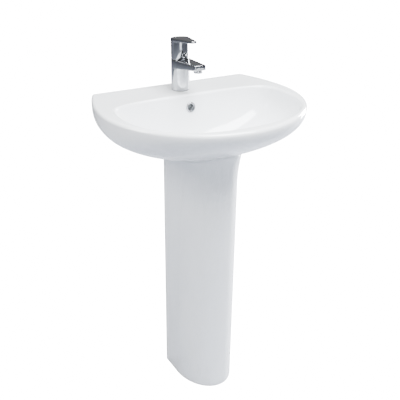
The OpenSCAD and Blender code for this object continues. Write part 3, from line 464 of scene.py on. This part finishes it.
OUTER_TOPS, INNER_TOPS = ped_tops(0), ped_tops(12)


def ped_ring(heights, tops, t):
    return [(*flared(ped_line(z, t)[i], z, tops[i]), z) for i, z in enumerate(heights)]


def make_pedestal():
    shaft_top = 685 - 2 - 80 - 2
    n = len(OUTER_TOPS)
    levels = [(lambda top: [0.0] * n, 36), (lambda top: [16.0] * n, 36), (lambda top: [18.0] * n, 12)]
    levels += [(lambda top, k=k: [mix(18, shaft_top, k / 14)] * n, 12) for k in range(1, 15)]
    levels += [(lambda top, k=k: [mix(shaft_top, z, k / 30) for z in top], 12) for k in range(1, 31)]
    rings = []
    for level, t in levels:
        inside = ped_ring(level(INNER_TOPS), INNER_TOPS, t)
        rings.append(ped_ring(level(OUTER_TOPS), OUTER_TOPS, 0) + list(reversed(inside)))
    obj = loft_shell("pedestal_glazed", rings)
    bevel(obj, 2.2, 3, 50)
    smooth(obj, radians(50))
    for side in (-1, 1):
        cut(obj, drum("screw", 4, 18, (side * 58, 95, -1), segments=48))
    smooth(obj, radians(50))
    return obj


def loft_shell(name, rings):
    """A closed solid through U-shaped rings, each of which runs along one face and back along the other."""
    n, m = len(rings[0]), len(rings)
    half = n // 2
    verts = [p for r in rings for p in r]
    faces = [(j * n + i, j * n + (i + 1) % n, (j + 1) * n + (i + 1) % n, (j + 1) * n + i)
             for j in range(m - 1) for i in range(n)]
    for base in (0, (m - 1) * n):
        faces += [(base + i, base + i + 1, base + n - 2 - i, base + n - 1 - i) for i in range(half - 1)]
    return build(name, verts, faces, radians(50))


def make_bead():
    """Silicone that fills the joint on the pedestal's crest, almost flush with its outside."""
    rings = []
    for rise in (-2.4, 2.3):
        low, high = [z + rise for z in OUTER_TOPS], [z + rise for z in INNER_TOPS]
        rings.append(ped_ring(low, OUTER_TOPS, 0.4) + list(reversed(ped_ring(high, INNER_TOPS, 11.0))))
    return loft_shell("joint_bead", rings)


piece(make_pedestal(), "root", ["pedestal"], "china")
piece(make_bead(), "root", ["pedestal_bead"], "silicone")


# ---------------------------------------------------------------- tap
TAP = (0, 164, 850)
COLUMN_R, COLUMN_H, AERATOR_Y, CAP_Z = 25, 84, 61, 946.5
SPOUT_REACH, LEVER_REACH, LEVER_TOP, LEVER_RISE = 117, 84, 139, 5


def beam(name, reach, tip_half, top, rise, root_t, tip_t, corner, steps=26):
    """A flat arm that leaves the column along its tangents, narrows, climbs by rise and has a round tip."""
    tip_r = sqrt(tip_half ** 2 + reach ** 2)
    angle = atan2(-reach, tip_half) + pi / 2 - atan2(COLUMN_R, sqrt(tip_r ** 2 - COLUMN_R ** 2))
    root = (COLUMN_R * cos(angle), COLUMN_R * sin(angle))

    def half(y):
        return mix(root[0], tip_half, (root[1] - y) / (root[1] + reach))
    end = 3.0
    ys = [mix(root[1], -reach + end, k / steps) for k in range(steps + 1)]
    turns = [pi / 2 * k / 6 for k in range(1, 7)]
    caps = [(-reach + end - end * sin(turn), end * (1 - cos(turn))) for turn in turns]
    rings = []
    for y, inset in [(y, 0.0) for y in ys] + caps:
        w = half(y) - inset * 1.3
        z1 = top - rise * y / reach - inset * 0.45
        z0 = mix(top - root_t, top + rise - tip_t, -y / reach) + inset * 0.6
        r = min(corner, (z1 - z0) / 2 - 0.2)
        ring = []
        corners = [(w - r, z1 - r, 0), (-w + r, z1 - r, 90), (-w + r, z0 + r, 180), (w - r, z0 + r, 270)]
        for cx, cz, a0 in corners:
            for k in range(7):
                a = radians(a0 + 90 * k / 6)
                ring.append((TAP[0] + cx + r * cos(a), TAP[1] + y, TAP[2] + cz + r * sin(a)))
        rings.append(ring)
    return loft(name, rings)


def make_tap_body():
    profile = rounded([(0, 1.5), (COLUMN_R, 1.5), (COLUMN_R, COLUMN_H), (0, COLUMN_H)], [1.0, 1.0], 5)
    obj = lathe("tap_body_chrome", profile, TAP, segments=160)
    combine(obj, beam("spout", SPOUT_REACH, 16.5, 83.5, 6, 25, 14, 2.4), "UNION")
    cut(obj, drum("pocket", 17.75, 60, (0, TAP[1], 893)), drum("nut_well", 21, 20, (0, TAP[1], 927)))
    cut(obj, drum("aerator_bore", 11.25, 81.5, (0, AERATOR_Y, 853)),
        drum("aerator_seat", 12.25, 70, (0, AERATOR_Y, 854.6)))
    for side in (-1, 1):
        cut(obj, drum("port", 6.55, 12.5, (side * 8, TAP[1] - 5, 849), segments=48))
    return obj


piece(make_tap_body(), "root", ["tap_body"], "chrome")


def make_handle():
    rings = []
    corners = [(0, 85), (COLUMN_R, 85), (COLUMN_R, LEVER_TOP), (0, LEVER_TOP)]
    for r, z in rounded(corners, [0.8, 1.6], 5)[1:-1]:
        tilt = LEVER_RISE / LEVER_REACH if z > COLUMN_H + 20 else 0
        turns = [2 * pi * k / 160 for k in range(160)]
        rings.append([(r * cos(a), TAP[1] + r * sin(a), TAP[2] + z - tilt * r * sin(a)) for a in turns])
    obj = loft("lever_handle_chrome", rings)
    combine(obj, beam("lever", LEVER_REACH, 7.5, LEVER_TOP, LEVER_RISE, 9, 6, 1.6), "UNION")
    cut(obj, drum("hollow", 21.2, 9, (0, TAP[1], 934)))
    lift = Matrix.Rotation(radians(22), 4, "X")
    wedge = prism("wedge", [(0, -48), (72, -48), (72, 0), (0, 0)], (-48, 0, 0), "x", 96)
    wedge.data.transform(Matrix.Translation(Vector((0, TAP[1], 935)) * MM) @ lift)
    cut(obj, wedge)
    cut(obj, drum("cap_well", 7.1, 4, (0, 141.6, CAP_Z), FACE_FRONT),
        drum("grub_way", 2.5, 26, (0, TAP[1], CAP_Z), FACE_FRONT, 48))
    socket = 4.1
    square = [(-socket, -socket), (socket, -socket), (socket, socket), (-socket, socket)]
    cut(obj, prism("square", square, (0, TAP[1], 942), "z", 20))
    return obj


FACE_FRONT = Matrix.Rotation(radians(90), 4, "X")
piece(make_handle(), "lever", ["lever_handle"], "chrome")
piece(lathe("index_button", rounded([(0, 0), (7, 0), (7, 2.4), (5.6, 3.2), (0, 3.4)], [0.2, 0.8, 0.8], 4),
            (0, 141.5, CAP_Z), FACE_FRONT), "lever", ["index_cap"], "chrome")
aerator_profile = [(8.8, 0), (12, 0), (12, 7), (11, 7), (11, 14), (10, 14), (10, 2), (8.8, 2), (8.8, 0)]
aerator_profile = rounded(aerator_profile, [0.8, 0.5, 0.2, 0.3, 0.3, 0.2, 0.2], 4)
piece(lathe("aerator_ring", aerator_profile, (0, AERATOR_Y, 917.5)),
      "root", ["aerator_housing"], "chrome")
piece(lathe("dished_cover", rounded([(20.4, 0), (20.4, 1.2), (11.5, 5), (11.5, 3.8), (18, 0), (20.4, 0)],
                                    [0.3, 0.3, 0.3, 0.2], 3), (0, TAP[1], 933.5)),
      "root", ["cartridge_cover"], "chrome")
OVERFLOW_TURN = Matrix.Rotation(radians(90 - 9.38), 4, "X")
ring_profile = [(9, -8), (10.6, -8), (10.6, 0.25), (11.9, 0.25)]
ring_profile += [(11.9 + 1.6 * sin(pi * k / 14), 1.85 - 1.6 * cos(pi * k / 14)) for k in range(1, 14)]
ring_profile += [(11.9, 3.45), (10.2, 3.2), (9.2, 2.2), (9, 1.0), (9, -8)]
piece(lathe("overflow_chrome", ring_profile, (0, 104.87, 815), OVERFLOW_TURN),
      "root", ["overflow_ring"], "chrome")
plug_profile = rounded([(0, 0), (25, 0), (25, 2.4), (12, 3.3), (0, 3.4)], [0.8, 1.6, 4], 5)
piece(lathe("plug_dome", plug_profile, (0, WASTE_Y, 721.5)),
      "plug", ["plug_cap"], "chrome")


# ---------------------------------------------------------------- stage and light
def make_stage():
    reach, level = 9000, -0.2
    corners = [(-reach, -reach, level), (reach, -reach, level), (reach, reach, level), (-reach, reach, level)]
    floor = build("floor", corners, [(0, 1, 2, 3)])
    mat = bpy.data.materials.new("pale_floor")
    mat.use_nodes = True
    tree = mat.node_tree
    tree.nodes.clear()
    out = tree.nodes.new("ShaderNodeOutputMaterial")
    diffuse = tree.nodes.new("ShaderNodeBsdfDiffuse")
    diffuse.inputs["Color"].default_value = (0.36, 0.38, 0.43, 1)
    glow = tree.nodes.new("ShaderNodeEmission")
    path = tree.nodes.new("ShaderNodeLightPath")
    scale = tree.nodes.new("ShaderNodeMath")
    scale.operation = "MULTIPLY"
    scale.inputs[1].default_value = 22.0
    total = tree.nodes.new("ShaderNodeAddShader")
    tree.links.new(path.outputs["Is Camera Ray"], scale.inputs[0])
    tree.links.new(scale.outputs[0], glow.inputs["Strength"])
    tree.links.new(diffuse.outputs[0], total.inputs[0])
    tree.links.new(glow.outputs[0], total.inputs[1])
    tree.links.new(total.outputs[0], out.inputs["Surface"])
    floor.data.materials.append(mat)


def area_light(name, place, target, size, power, colour=(1, 1, 1)):
    data = bpy.data.lights.new(name, "AREA")
    data.shape = "RECTANGLE"
    data.size, data.size_y = size
    data.energy = power
    data.color = colour
    obj = bpy.data.objects.new(name, data)
    obj.location = place
    obj.rotation_euler = (Vector(target) - Vector(place)).to_track_quat("-Z", "Y").to_euler()
    bpy.context.scene.collection.objects.link(obj)


def make_world():
    world = bpy.data.worlds.new("studio")
    bpy.context.scene.world = world
    world.use_nodes = True
    tree = world.node_tree
    tree.nodes.clear()
    out = tree.nodes.new("ShaderNodeOutputWorld")
    back = tree.nodes.new("ShaderNodeBackground")
    back.inputs["Color"].default_value = (0.95, 0.97, 1.0, 1)
    path = tree.nodes.new("ShaderNodeLightPath")
    level = tree.nodes.new("ShaderNodeMapRange")
    coords = tree.nodes.new("ShaderNodeTexCoord")
    facing = tree.nodes.new("ShaderNodeVectorMath")
    facing.operation = "DOT_PRODUCT"
    facing.inputs[1].default_value = (-0.2, -0.9, 0.3)
    sky = tree.nodes.new("ShaderNodeMapRange")
    sky.interpolation_type = "SMOOTHSTEP"
    for name, value in (("From Min", -0.6), ("From Max", 0.8), ("To Min", 0.25), ("To Max", 0.3)):
        sky.inputs[name].default_value = value
    tree.links.new(coords.outputs["Generated"], facing.inputs[0])
    tree.links.new(facing.outputs["Value"], sky.inputs["Value"])
    tree.links.new(sky.outputs["Result"], level.inputs["To Min"])
    level.inputs["To Max"].default_value = 22.0
    tree.links.new(path.outputs["Is Camera Ray"], level.inputs["Value"])
    tree.links.new(level.outputs["Result"], back.inputs["Strength"])
    tree.links.new(back.outputs[0], out.inputs["Surface"])


make_stage()
make_world()
area_light("top", (0.3, -0.9, 2.8), (0, 0, 0.8), (1.5, 1.5), 310, (0.96, 0.98, 1.0))
area_light("right", (2.5, 0.8, 0.9), (0, 0, 0.5), (0.8, 1.7), 430)
area_light("left", (-2.0, 0.3, 2.1), (0, 0, 0.5), (1.0, 1.0), 70)
area_light("front", (-0.75, -2.3, 0.6), (0, 0.16, 0.7), (0.9, 0.7), 9, (0.94, 0.97, 1.0))
